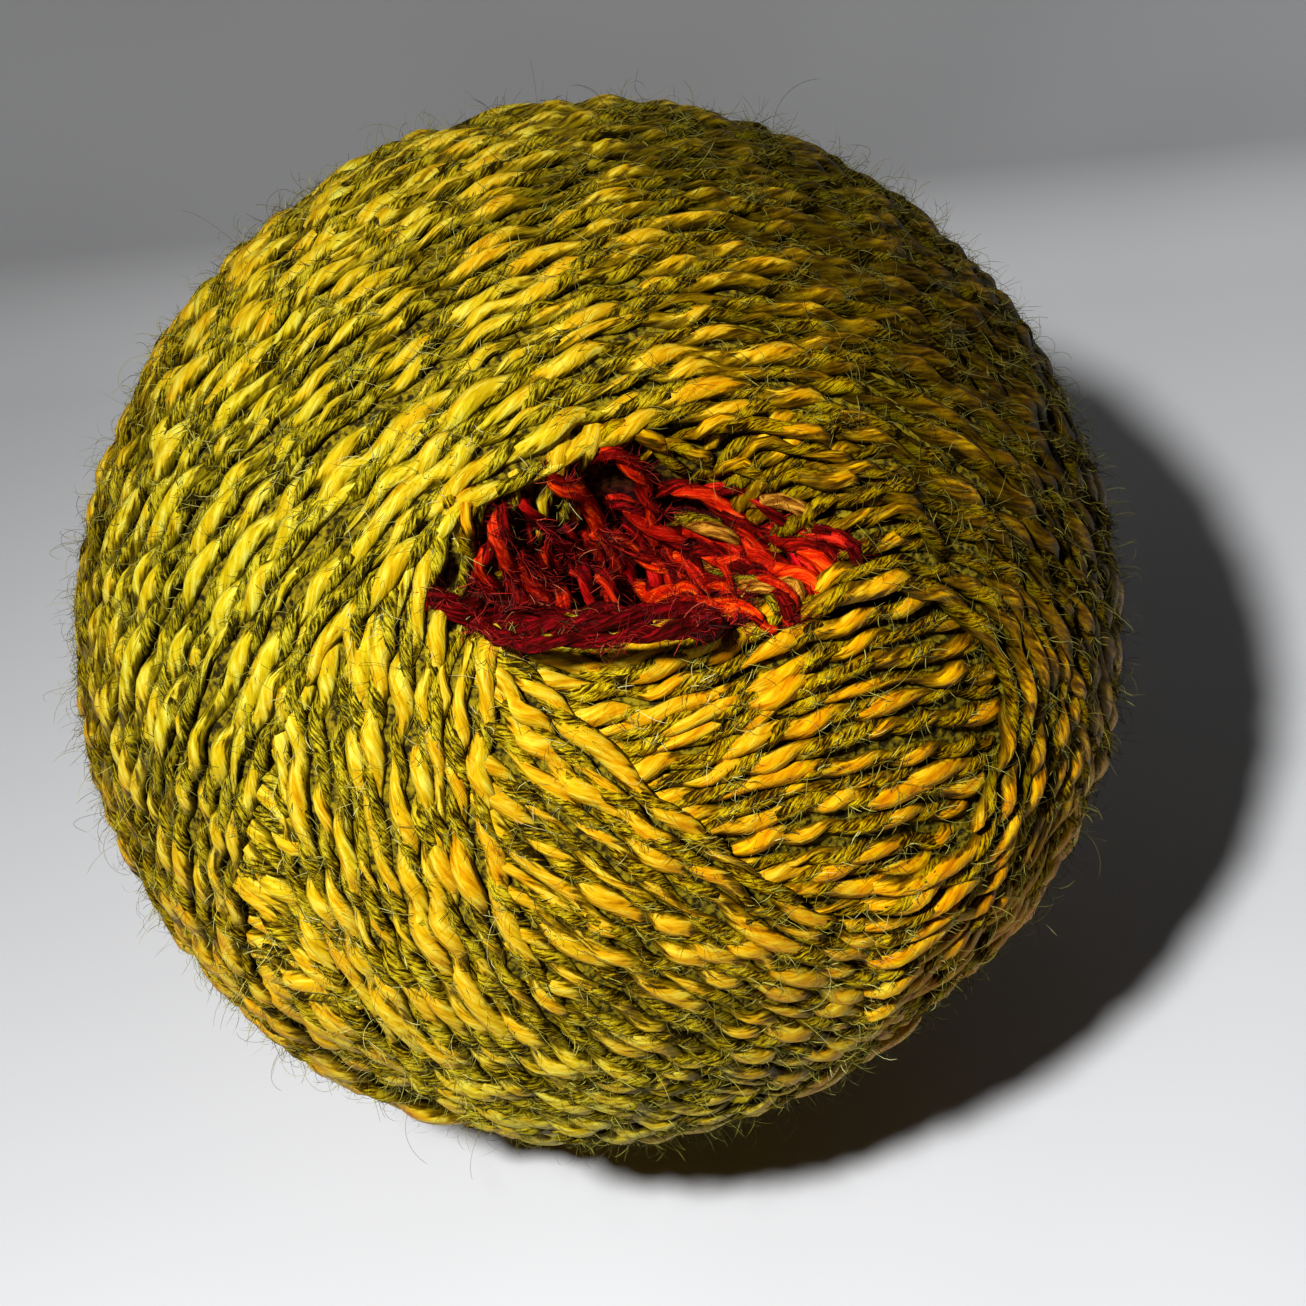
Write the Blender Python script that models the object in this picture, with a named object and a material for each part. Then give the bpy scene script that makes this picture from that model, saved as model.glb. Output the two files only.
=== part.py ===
"""A wound ball of yarn with a collapsed centre hollow, as one closed solid.

The ball is slightly squat along its winding axis, which leans towards -Y, and it rests on a small
flat spot. Its surface is stepped where one band of turns lies over the next, and each band carries
low ridges along its turns, a few turns to a ridge. The hollow is an eye-shaped pit in the end of
the winding axis, steep on its near side and sloping on its far side. Metres, +Z up.
"""

from collections import namedtuple
from math import acos, atan2, cos, degrees, exp, pi, radians, sin

import bmesh
import bpy
from mathutils import Matrix, Vector

# The ball
BALL_RADIUS = 0.0460
SQUATNESS = 0.92
FLAT_DEPTH = 0.0017
AXIS_AZIMUTH = -80.0
AXIS_ELEVATION = 64.0

# The yarn and the ridges that stand for its turns
YARN_PITCH = 0.00175
TURNS_IN_RIDGE = 3
RIDGE_HEIGHT = 0.00035

# The slow unevenness of a ball wound by hand: waves that run across the ball, each with its share
# of the height, the way it runs and where it starts. The first two are multiplied.
WAVINESS = 0.0004
Wave = namedtuple("Wave", "share x y z start")
LONG_WAVE = Wave(1.0, 3.1, 0.0, 1.7, 0.0)
CROSS_WAVE = Wave(1.0, 0.0, 2.3, 0.0, 0.97)
SHORT_WAVE = Wave(0.6, 2.9, 4.7, 0.0, 0.0)

# The bands of turns. Each one circles about its pole, and the first row lies on top.
# Angles are in degrees. The inner edge rises by swell near swell_at, an angle about the pole
# that is measured from the side of the winding axis.
Band = namedtuple(
    "Band", "name azimuth elevation inner outer swell swell_at swell_width seen_from seen_to lift"
)
BANDS = (
    Band("over", -78, 13, 49, 118, 14, -15, 55, -180, 180, 0.0014),
    Band("right", -50, 33, 16, 42, 0, 0, 30, -215, -30, 0.0011),
    Band("left", -42, 30, 50, 74, 0, 0, 30, -180, 180, 0.0009),
    Band("lower", 27, 38, 79, 124, 0, 0, 30, -180, 180, 0.0005),
    Band("near", 75, 47, 60, 128, 16, -2, 24, -180, 180, -0.0006),
    Band("back", 165, -30, 48, 122, 0, 0, 30, -180, 180, -0.0008),
)
EDGE_WIDTH = 0.0022

# The hollow, about a centre of its own. Reach is how far its rim lies from that centre in degrees,
# at an azimuth that runs counter-clockwise from +X, as seen from outside.
HOLLOW_AZIMUTH = -79.0
HOLLOW_ELEVATION = 60.5
HOLLOW_DEPTH = 0.0190
WALL_POWER = 1.80
RIM_ROUNDING = 0.0012
Rim = namedtuple("Rim", "azimuth reach")
RIM = (
    Rim(5, 23.5),
    Rim(20, 21.0),
    Rim(42, 18.5),
    Rim(70, 15.8),
    Rim(105, 15.8),
    Rim(119, 16.0),
    Rim(141, 16.9),
    Rim(165, 18.4),
    Rim(184, 22.8),
    Rim(198, 20.6),
    Rim(203, 16.3),
    Rim(216, 9.6),
    Rim(252, 5.2),
    Rim(306, 6.1),
    Rim(338, 13.6),
    Rim(353, 16.8),
)

# The yarn's overall colour, yellow with dark olive
YARN_COLOUR = (0.46, 0.33, 0.03, 1)
YARN_ROUGHNESS = 0.85

# The mesh
SLICES = 168
HOLLOW_RINGS = 16
OUTER_RINGS = 84
TRIANGLES = 10400
CUT_TOLERANCE = 0.00001


def direction(azimuth, elevation):
    """The unit vector at an azimuth from +X and an elevation above the ground, in degrees."""
    flat = cos(radians(elevation))
    return Vector(
        (flat * cos(radians(azimuth)), flat * sin(radians(azimuth)), sin(radians(elevation)))
    )


AXIS = direction(AXIS_AZIMUTH, AXIS_ELEVATION)
HOLLOW = direction(HOLLOW_AZIMUTH, HOLLOW_ELEVATION)


def across(pole, side):
    """Two directions square to the pole, the first towards side and the second a quarter turn on."""
    first = (side - pole * side.dot(pole)).normalized()
    return first, pole.cross(first)


HOLLOW_RIGHT, HOLLOW_UP = across(HOLLOW, Vector((1, 0, 0)))


def angle_between(one, other):
    return acos(max(-1.0, min(1.0, one.dot(other))))


def smooth(value):
    """A step from 0 to 1 with level ends."""
    value = max(0.0, min(1.0, value))
    return value * value * (3 - 2 * value)


def rim_reach(azimuth):
    """The rim's reach in radians at an azimuth in degrees, in straight steps between the rows."""
    azimuth = (azimuth - RIM[0].azimuth) % 360 + RIM[0].azimuth
    rows = RIM + (Rim(RIM[0].azimuth + 360, RIM[0].reach),)
    for here, after in zip(rows, rows[1:]):
        if azimuth <= after.azimuth:
            part = (azimuth - here.azimuth) / (after.azimuth - here.azimuth)
            return radians(here.reach + (after.reach - here.reach) * part)
    return radians(rows[-1].reach)


def in_band(band, way):
    """How far inside the band a direction lies, in metres, and how many turns in from its edge."""
    pole = direction(band.azimuth, band.elevation)
    first, second = across(pole, AXIS)
    polar = degrees(angle_between(way, pole))
    turned = degrees(atan2(way.dot(second), way.dot(first)))
    swell = band.swell * exp(-(((turned - band.swell_at) / band.swell_width) ** 2))
    inner = band.inner + swell
    inside = min(polar - inner, band.outer - polar)
    if band.seen_to - band.seen_from < 360:
        middle = (band.seen_from + band.seen_to) / 2
        off = abs((turned - middle + 180) % 360 - 180)
        room = (band.seen_to - band.seen_from) / 2 - off
        inside = min(inside, room * sin(radians(polar)))
    share = (polar - inner) / (band.outer - inner)
    turns = share * radians(band.outer - band.inner) * BALL_RADIUS / YARN_PITCH
    return radians(inside) * BALL_RADIUS, turns


def relief(way):
    """The height of the bands over the plain ball: steps at their edges and ridges along them."""
    lowest = BANDS[-1].lift
    height = lowest
    ridge = None
    for band in BANDS:
        inside, turns = in_band(band, way)
        cover = smooth(inside / EDGE_WIDTH)
        height = max(height, lowest + (band.lift - lowest) * cover)
        if ridge is None and inside > 0:
            ridge = RIDGE_HEIGHT * cos(2 * pi * turns / TURNS_IN_RIDGE) * cover
    return height + (ridge or 0.0)


def wave_height(wave, way):
    return wave.share * sin(wave.x * way.x + wave.y * way.y + wave.z * way.z + wave.start)


def waviness(way):
    """The slow unevenness in one direction."""
    long_part = wave_height(LONG_WAVE, way) * wave_height(CROSS_WAVE, way)
    return WAVINESS * (long_part + wave_height(SHORT_WAVE, way))


def plain_radius(way):
    """The squat ball's radius in one direction."""
    along = way.dot(AXIS)
    return BALL_RADIUS / (1 - along**2 + (along / SQUATNESS) ** 2) ** 0.5


def surface_radius(way, share):
    """The ball's radius in one direction. Share runs from 0 in the hollow's middle to 1 at its rim."""
    outer = plain_radius(way) + waviness(way) + relief(way)
    drop = HOLLOW_DEPTH * (1 - min(share, 1.0) ** WALL_POWER)
    return outer - drop


def rim_drop(from_rim):
    """How far the surface is lowered near the rim, so that the edge isn't sharp."""
    return RIM_ROUNDING * (1 - smooth(abs(from_rim) / (2 * RIM_ROUNDING)))


def ball_mesh():
    """A sphere primitive, its rings drawn to the hollow's rim and its points moved to the surface."""
    rings = HOLLOW_RINGS + OUTER_RINGS
    shape = bmesh.new()
    bmesh.ops.create_uvsphere(shape, u_segments=SLICES, v_segments=rings, radius=1.0)
    for vert in shape.verts:
        ring = rings * acos(max(-1.0, min(1.0, vert.co.z))) / pi
        azimuth = atan2(vert.co.y, vert.co.x)
        reach = rim_reach(degrees(azimuth))
        share = ring / HOLLOW_RINGS
        if share <= 1:
            polar = reach * share
        else:
            polar = reach + (pi - reach) * (ring - HOLLOW_RINGS) / OUTER_RINGS
        sideways = HOLLOW_RIGHT * cos(azimuth) + HOLLOW_UP * sin(azimuth)
        way = HOLLOW * cos(polar) + sideways * sin(polar)
        from_rim = (polar - reach) * BALL_RADIUS
        vert.co = way * (surface_radius(way, share) - rim_drop(from_rim))
    mesh = bpy.data.meshes.new("wound_ball")
    shape.to_mesh(mesh)
    shape.free()
    return mesh


def triangle_count(mesh):
    return sum(len(face.vertices) - 2 for face in mesh.polygons)


def thinned(mesh, collection):
    """The mesh with fewer triangles, kept where the surface bends."""
    rough = bpy.data.objects.new("rough_ball", mesh)
    collection.objects.link(rough)
    fewer = rough.modifiers.new("fewer", "DECIMATE")
    fewer.ratio = TRIANGLES / triangle_count(mesh)
    fewer.use_collapse_triangulate = True
    graph = bpy.context.evaluated_depsgraph_get()
    result = bpy.data.meshes.new_from_object(rough.evaluated_get(graph))
    bpy.data.objects.remove(rough)
    return result


def rest_on_flat_spot(mesh):
    """Cuts the flat spot, closes it, and puts the ball's lowest plane at Z = 0 under its middle."""
    shape = bmesh.new()
    shape.from_mesh(mesh)
    lowest = min(vert.co.z for vert in shape.verts)
    bmesh.ops.translate(shape, verts=shape.verts, vec=(0, 0, -lowest - FLAT_DEPTH))
    everything = shape.verts[:] + shape.edges[:] + shape.faces[:]
    cut = bmesh.ops.bisect_plane(
        shape,
        geom=everything,
        dist=CUT_TOLERANCE,
        plane_co=(0, 0, 0),
        plane_no=(0, 0, 1),
        clear_inner=True,
    )
    edges = [item for item in cut["geom_cut"] if isinstance(item, bmesh.types.BMEdge)]
    bmesh.ops.holes_fill(shape, edges=edges)
    bmesh.ops.recalc_face_normals(shape, faces=shape.faces)
    for axis in (0, 1):
        places = [vert.co[axis] for vert in shape.verts]
        middle = (min(places) + max(places)) / 2
        shift = Vector((0, 0, 0))
        shift[axis] = -middle
        bmesh.ops.transform(shape, matrix=Matrix.Translation(shift), verts=shape.verts)
    bmesh.ops.triangulate(shape, faces=[face for face in shape.faces if len(face.verts) > 4])
    shape.to_mesh(mesh)
    shape.free()


def yarn_material():
    material = bpy.data.materials.new("yarn")
    material.use_nodes = True
    surface = material.node_tree.nodes["Principled BSDF"]
    surface.inputs["Base Color"].default_value = YARN_COLOUR
    surface.inputs["Roughness"].default_value = YARN_ROUGHNESS
    surface.inputs["Metallic"].default_value = 0.0
    return material


def main():
    for old in list(bpy.data.objects):
        bpy.data.objects.remove(old)
    collection = bpy.data.collections.new("yarn_ball")
    bpy.context.scene.collection.children.link(collection)
    mesh = thinned(ball_mesh(), collection)
    rest_on_flat_spot(mesh)
    mesh.materials.clear()
    mesh.materials.append(yarn_material())
    mesh.shade_smooth()
    ball = bpy.data.objects.new("wound_ball", mesh)
    collection.objects.link(ball)


main()
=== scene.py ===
"""Looks of the wound ball of yarn: every visible turn as two twisted plies, with its loose fibres.

Each band of turns is one long spiral about the band's pole. Where another band lies over it, its
turns dive and end out of sight. Metres, +Z up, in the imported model's frame.
"""

from collections import namedtuple
from math import atan, cos, pi, radians, sin

import bpy
import numpy as np
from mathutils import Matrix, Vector


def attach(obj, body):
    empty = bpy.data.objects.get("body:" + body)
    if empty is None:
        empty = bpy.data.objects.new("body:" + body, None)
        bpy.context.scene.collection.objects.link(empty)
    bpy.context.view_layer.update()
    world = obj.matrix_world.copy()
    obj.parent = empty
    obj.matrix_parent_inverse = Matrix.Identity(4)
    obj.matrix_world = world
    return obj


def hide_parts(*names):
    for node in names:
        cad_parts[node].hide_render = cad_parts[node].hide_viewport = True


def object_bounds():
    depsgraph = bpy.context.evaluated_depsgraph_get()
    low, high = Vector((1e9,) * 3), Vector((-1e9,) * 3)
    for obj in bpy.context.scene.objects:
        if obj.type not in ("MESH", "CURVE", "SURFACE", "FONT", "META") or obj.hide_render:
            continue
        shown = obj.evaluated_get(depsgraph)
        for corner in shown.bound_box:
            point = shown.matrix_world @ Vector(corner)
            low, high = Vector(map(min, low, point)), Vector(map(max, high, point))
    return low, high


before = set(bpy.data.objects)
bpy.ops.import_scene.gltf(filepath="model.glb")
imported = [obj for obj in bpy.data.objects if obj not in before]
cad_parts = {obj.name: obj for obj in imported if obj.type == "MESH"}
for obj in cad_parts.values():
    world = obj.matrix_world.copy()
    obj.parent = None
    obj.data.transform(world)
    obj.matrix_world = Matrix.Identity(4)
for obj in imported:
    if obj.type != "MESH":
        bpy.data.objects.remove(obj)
cad_low, cad_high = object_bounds()

BODY = "root"
NODE = "wound_ball"
SEED = 11

# The ball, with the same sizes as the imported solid, and where its centre lies in the solid's box
BALL_RADIUS = 0.0460
SQUATNESS = 0.92
AXIS_AZIMUTH = -80.0
AXIS_ELEVATION = 64.0
CENTRE_OFF_MIDDLE = (-0.0001, 0.0010)
CENTRE_SHARE_OF_HEIGHT = 0.486

# The slow unevenness of a ball wound by hand: the height of its waves, how fast the long, the cross
# and the short wave run along the axes, where the cross wave starts, and the short wave's share
WAVINESS = 0.0004
Rates = namedtuple("Rates", "x y z")
LONG_WAVE = Rates(3.1, 0.0, 1.7)
CROSS_WAVE = Rates(0.0, 2.3, 0.0)
CROSS_START = -0.6
SHORT_WAVE = Rates(2.9, 4.7, 0.0)
SHORT_SHARE = 0.6

# The bands of turns. Each one circles about its pole, and the first row lies on top.
# Angles are in degrees. The inner edge rises by swell near swell_at, an angle about the pole
# that is measured from the side of the winding axis.
Band = namedtuple(
    "Band", "name azimuth elevation inner outer swell swell_at swell_width seen_from seen_to lift"
)
BANDS = (
    Band("over", -78, 13, 49, 118, 14, -15, 55, -180, 180, 0.0014),
    Band("right", -50, 33, 16, 42, 0, 0, 30, -215, -30, 0.0011),
    Band("left", -42, 30, 50, 74, 0, 0, 30, -180, 180, 0.0009),
    Band("lower", 27, 38, 79, 124, 0, 0, 30, -180, 180, 0.0005),
    Band("near", 75, 47, 60, 128, 16, -2, 24, -180, 180, -0.0006),
    Band("back", 165, -30, 48, 122, 0, 0, 30, -180, 180, -0.0008),
)

# The hollow, about a centre of its own. Reach is how far its rim lies from that centre in degrees,
# at an azimuth that runs counter-clockwise from +X, as seen from outside.
HOLLOW_AZIMUTH = -79.0
HOLLOW_ELEVATION = 60.5
HOLLOW_DEPTH = 0.0190
WALL_POWER = 1.80
Rim = namedtuple("Rim", "azimuth reach")
RIM = (
    Rim(5, 23.5),
    Rim(20, 21.0),
    Rim(42, 18.5),
    Rim(70, 15.8),
    Rim(105, 15.8),
    Rim(119, 16.0),
    Rim(141, 16.9),
    Rim(165, 18.4),
    Rim(184, 22.8),
    Rim(198, 20.6),
    Rim(203, 16.3),
    Rim(216, 9.6),
    Rim(252, 5.2),
    Rim(306, 6.1),
    Rim(338, 13.6),
    Rim(353, 16.8),
)

# The turns: how far apart they lie and how unevenly, the share of a band's swell that takes room
# from them, the part of a turn in which the spiral shifts over, and the steps in one turn
PITCH = 0.00175
UNEVENNESS = 0.26
SWELL_SHARE = 0.75
TURN_SHIFT = 0.06
TURN_STEPS = 420

# How far the yarn's middle lies below its band's level, and how far it rises and falls
SINK = 0.0007
RISE_WOBBLE = 0.0003

# Where a higher band covers a turn: how far in the turn starts to dive, over what length, how deep
# it goes and how far in it ends. A run that is shorter than the shortest isn't built.
DIVE_START = 0.0002
DIVE_LENGTH = 0.0030
DIVE_DEPTH = 0.0021
HIDDEN_LENGTH = 0.0035
SHORTEST_RUN = 0.0035

# The twist: how far a ply's middle lies from the yarn's middle, the share by which that changes,
# the length of one twist, and how far the twist runs ahead or behind. A ply's thickness stays
# between the thinnest and the thickest share of its radius.
PLY_OFFSET = 0.00033
OFFSET_WOBBLE = 0.25
LAY_LENGTH = 0.0072
LAY_WOBBLE = 0.0026
THINNEST = 0.42
THICKEST = 1.35

# The two plies of the yarn on the ball and of the yarn in the hollow: the radius, how unevenly
# thick they are, and how far round the yarn's middle each one starts
Ply = namedtuple("Ply", "name radius slub turn")
PLIES = (Ply("gold", 0.00070, 0.95, 0.0), Ply("dark", 0.00060, 0.40, pi))
HOLLOW_PLIES = (Ply("gold", 0.00054, 0.8, 0.0), Ply("dark", 0.00050, 0.40, pi))

# The lengths of the random waves in all these, in metres. Those of the rows are in turns.
ROW_WAVES = (0.21, 0.43, 1.3)
RISE_WAVES = (0.017, 0.043, 0.11)
LAY_WAVES = (0.017, 0.05)
OFFSET_WAVES = (0.013, 0.031)
SLUB_WAVES = (0.011, 0.025, 0.07)

# The tubes: the step between their rings, the sides of a ring, and the share of the radius at the
# ends. Each tube's map starts at a random length below the last number.
RING_STEP = 0.0008
RING_SIDES = 6
TIP_SHARE = 0.3
MAP_START = 3

# How high the yarn's crest stands over its middle, where dark fibres and painted shade cover least
CREST_HEIGHT = 0.00085

# The dark surface between the turns, coloured as painted shade: how far it lies below them, how far
# in from a band's edge it steps up, how wide that step is, how fast it turns red inside the hollow's
# rim, and its mesh
CORE_DEPTH = 0.0010
CORE_EDGE = 0.0015
CORE_STEP = 0.0022
CORE_REDDENING = 5.0
CORE_SLICES = 120
CORE_HOLLOW_RINGS = 20
CORE_OUTER_RINGS = 60

# Fibres: where they grow, how many, their least and greatest length and curl in radians, the
# points along them, the sides of their section and its radius, and how much they stand up
Fibre = namedtuple("Fibre", "name place count reach curl steps sides radius rise")
FIBRES = (
    Fibre("short_fibres", "ball", 30000, (0.0006, 0.0019), (0.2, 1.6), 4, 2, 0.000030, 0.20),
    Fibre("halo_fibres", "ball", 13000, (0.0010, 0.0036), (0.4, 2.8), 6, 2, 0.000018, 0.75),
    Fibre("loose_fibres", "ball", 640, (0.0030, 0.0075), (1.4, 4.6), 15, 3, 0.000018, 0.95),
    Fibre("red_fibres", "hollow", 5200, (0.0008, 0.0024), (0.2, 2.0), 5, 2, 0.000026, 0.30),
)

# How much darker the fibres are in the dark patches, as painted shade, how far they drift to the side,
# and how far above the floor they stay. They grow on the outer part of a ply, above a level that is
# measured from the yarn's middle, at a share of the ply's radius.
FIBRE_PAINTED_SHADE = 0.30
FIBRE_DRIFT = 0.35
FIBRE_CLEARANCE = 0.0001
ROOT_LEVEL = -0.0001
ROOT_SHARE = 0.8

# The camera: the photo's width and its focal length in pixels, the sensor's width in millimetres,
# how far the camera looks down, and the ball's middle and radius in the photo's pixels
FRAME_PIXELS = 1306
FOCAL_PIXELS = 2576
SENSOR = 36.0
CAMERA_ELEVATION = 57.0
BALL_PIXEL = (600, 621)
BALL_PIXEL_RADIUS = 526

# How far from the camera its rays look for the hollow's wall
SEARCH_FROM = 0.14
SEARCH_TO = 0.26
SEARCH_STEPS = 1200

# The cloth the ball stands on and the wall of cloth behind it: the colour, half the width, where
# the wall stands and how far it is turned, the radius of the crease between them, and the folds
CLOTH_COLOUR = (0.378, 0.382, 0.390, 1)
STAGE_SIZE = 0.9
WALL_AT = 0.070
WALL_SLANT = 0.13
CREASE = 0.012
CREASE_STEPS = 6
FOLD_HEIGHT = 0.006
FOLD_SCALE = 9.0
FOLD_DETAIL = 2.0

# The lamp: the direction and the distance from the ball's centre, the point on the table it is
# aimed at, its spread in degrees, its radius and its power. Some light comes from all round too.
LAMP_WAY = (-0.33, -0.33, 0.88)
LAMP_DISTANCE = 0.43
LAMP_AIM = (0.180, -0.400, 0.0)
LAMP_SPREAD = 144
LAMP_RADIUS = 0.02
LAMP_POWER = 29.0
ROOM_LIGHT = 0.004


def unit(vectors):
    return vectors / np.linalg.norm(vectors, axis=-1, keepdims=True)


def direction(azimuth, elevation):
    """The unit vector at an azimuth from +X and an elevation above the ground, in degrees."""
    flat = cos(radians(elevation))
    return np.array(
        [flat * cos(radians(azimuth)), flat * sin(radians(azimuth)), sin(radians(elevation))]
    )


AXIS = direction(AXIS_AZIMUTH, AXIS_ELEVATION)
HOLLOW = direction(HOLLOW_AZIMUTH, HOLLOW_ELEVATION)
CENTRE = np.array(
    [
        (cad_low[0] + cad_high[0]) / 2 + CENTRE_OFF_MIDDLE[0],
        (cad_low[1] + cad_high[1]) / 2 + CENTRE_OFF_MIDDLE[1],
        cad_low[2] + (cad_high[2] - cad_low[2]) * CENTRE_SHARE_OF_HEIGHT,
    ]
)
FLOOR = cad_low[2]


def across(pole, side):
    """Two directions square to the pole, the first towards side and the second a quarter turn on."""
    first = unit(side - pole * (side @ pole))
    return first, np.cross(pole, first)


HOLLOW_RIGHT, HOLLOW_UP = across(HOLLOW, np.array([1.0, 0.0, 0.0]))


def smooth(value):
    """A step from 0 to 1 with level ends."""
    value = np.clip(value, 0.0, 1.0)
    return value * value * (3 - 2 * value)


def rim_reach(azimuth):
    """The rim's reach in radians at azimuths in degrees."""
    at = [row.azimuth for row in RIM] + [RIM[0].azimuth + 360]
    reach = [row.reach for row in RIM] + [RIM[0].reach]
    return np.radians(np.interp((azimuth - at[0]) % 360 + at[0], at, reach))


def hollow_place(ways):
    """Share from the hollow's middle to its rim, and how far inside the rim in metres."""
    polar = np.arccos(np.clip(ways @ HOLLOW, -1, 1))
    azimuth = np.degrees(np.arctan2(ways @ HOLLOW_UP, ways @ HOLLOW_RIGHT))
    reach = rim_reach(azimuth)
    return polar / reach, (reach - polar) * BALL_RADIUS


def band_axes(band):
    pole = direction(band.azimuth, band.elevation)
    return (pole,) + across(pole, AXIS)


def inner_edge(band, turned):
    """The polar angle of the band's inner edge, in degrees, at angles about its pole."""
    return band.inner + band.swell * np.exp(-(((turned - band.swell_at) / band.swell_width) ** 2))


def inside_band(band, ways):
    """How far inside the band each direction lies, in metres, negative outside it."""
    pole, first, second = band_axes(band)
    polar = np.degrees(np.arccos(np.clip(ways @ pole, -1, 1)))
    turned = np.degrees(np.arctan2(ways @ second, ways @ first))
    inside = np.minimum(polar - inner_edge(band, turned), band.outer - polar)
    if band.seen_to - band.seen_from < 360:
        middle = (band.seen_from + band.seen_to) / 2
        off = np.abs((turned - middle + 180) % 360 - 180)
        room = (band.seen_to - band.seen_from) / 2 - off
        inside = np.minimum(inside, room * np.sin(np.radians(polar)))
    return np.radians(inside) * BALL_RADIUS


def plain_radius(ways):
    """The squat ball's radius with its slow unevenness, before the bands' steps."""
    along = ways @ AXIS
    radius = BALL_RADIUS / np.sqrt(1 - along**2 + (along / SQUATNESS) ** 2)
    x, y, z = ways.T
    long_wave = np.sin(LONG_WAVE.x * x + LONG_WAVE.z * z)
    cross_wave = np.cos(CROSS_WAVE.y * y + CROSS_START)
    short_wave = SHORT_SHARE * np.sin(SHORT_WAVE.y * y + SHORT_WAVE.x * x)
    return radius + WAVINESS * (long_wave * cross_wave + short_wave)


def hollow_drop(share):
    """How far the hollow's wall lies below the ball's outer form."""
    return HOLLOW_DEPTH * (1 - np.clip(share, 0, 1) ** WALL_POWER)


class Wobble:
    """A smooth random curve along a length, from a few sines."""

    def __init__(self, random, wavelengths):
        self.rates = 2 * pi / np.array(wavelengths)
        self.starts = random.uniform(0, 2 * pi, len(wavelengths))

    def at(self, length):
        waves = np.sin(np.multiply.outer(length, self.rates) + self.starts)
        return waves.mean(axis=-1)


def spaced(points, step):
    """The same line with points at an even step, and each point's length along it."""
    gaps = np.linalg.norm(np.diff(points, axis=0), axis=1)
    along = np.concatenate([[0], np.cumsum(gaps)])
    count = max(3, int(along[-1] / step))
    places = np.linspace(0, along[-1], count)
    line = np.stack([np.interp(places, along, points[:, axis]) for axis in range(3)], axis=1)
    return line, places


# Where the yarn is pale and dusty, round directions in degrees. The rest of it is golden.
Patch = namedtuple("Patch", "azimuth elevation width amount")
PALE_PATCHES = (
    Patch(-150, 40, 40, 0.95),
    Patch(100, 40, 48, 0.70),
    Patch(-90, -12, 30, 0.85),
    Patch(-120, 75, 14, 0.25),
)

# Where dark fibres cover more of the golden ply, and painted shade darkens the yarn and its fibres
DARK_FIBRE_AND_SHADE_PATCHES = (
    Patch(33, 44, 38, 1.65),
    Patch(-14, 26, 34, 1.00),
    Patch(-90, -20, 28, 0.65),
    Patch(-82, 10, 22, 0.40),
    Patch(-84, 24, 14, 0.35),
    Patch(-168, 8, 40, 1.00),
    Patch(105, 42, 44, 0.60),
)

# The most that patches can add up to
MOST_PATCHED = 1.8

# Between the over band and the left band, the turns of the lower bands rise towards this level.
GAP = Patch(-121, 8, 15, 1.0)
GAP_LEVEL = 0.0009


def patched(patches, ways):
    """How far the patches reach each direction. Their amounts add up."""
    total = np.zeros(len(ways))
    for row in patches:
        off = np.degrees(np.arccos(np.clip(ways @ direction(row.azimuth, row.elevation), -1, 1)))
        total = total + row.amount * np.exp(-((off / row.width) ** 2))
    return np.clip(total, 0, MOST_PATCHED)


def band_spiral(band, random):
    """The directions along all of a band's turns, as one line that shifts over after each turn."""
    pole, first, second = band_axes(band)
    turns = int(radians(band.outer - band.inner - band.swell * SWELL_SHARE) * BALL_RADIUS / PITCH)
    turn = np.arange(turns * TURN_STEPS) / TURN_STEPS
    turned = (turn % 1.0) * 360 - 180
    inner = inner_edge(band, turned)
    row = np.floor(turn) + smooth((turn % 1.0 - 1 + TURN_SHIFT) / TURN_SHIFT)
    share = (row + 0.5 + UNEVENNESS * Wobble(random, ROW_WAVES).at(turn)) / turns
    polar = np.radians(inner + (band.outer - inner) * share)
    turned = np.radians(turned)
    around = np.outer(np.cos(turned), first) + np.outer(np.sin(turned), second)
    return unit(np.outer(np.cos(polar), pole) + around * np.sin(polar)[:, None])


def band_runs(number, random):
    """The stretches of a band's turns that show, each as centre points and outward directions."""
    band = BANDS[number]
    ways = band_spiral(band, random)
    ways, along = spaced(ways * BALL_RADIUS, RING_STEP)
    ways = unit(ways)
    cover = np.full(len(ways), -1.0)
    for higher in BANDS[:number]:
        cover = np.maximum(cover, inside_band(higher, ways))
    share, inside_rim = hollow_place(ways)
    shown = (cover < HIDDEN_LENGTH) & (inside_rim < HIDDEN_LENGTH)
    if band.seen_to - band.seen_from < 360:
        shown &= inside_band(band, ways) > -HIDDEN_LENGTH
        cover = np.maximum(cover, -inside_band(band, ways))
    height = band.lift - SINK + RISE_WOBBLE * Wobble(random, RISE_WAVES).at(along)
    dive = DIVE_DEPTH * smooth((cover - DIVE_START) / DIVE_LENGTH)
    if band.lift < GAP_LEVEL:
        height = height + (GAP_LEVEL - band.lift) * patched((GAP,), ways)
    radius = plain_radius(ways) + height - dive - hollow_drop(share)
    points = CENTRE + ways * radius[:, None]
    runs = []
    edges = np.flatnonzero(np.diff(np.concatenate([[0], shown.astype(int), [0]])))
    for start, end in zip(edges[::2], edges[1::2]):
        if (end - start) * RING_STEP > SHORTEST_RUN:
            runs.append((points[start:end], ways[start:end]))
    return runs


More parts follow.
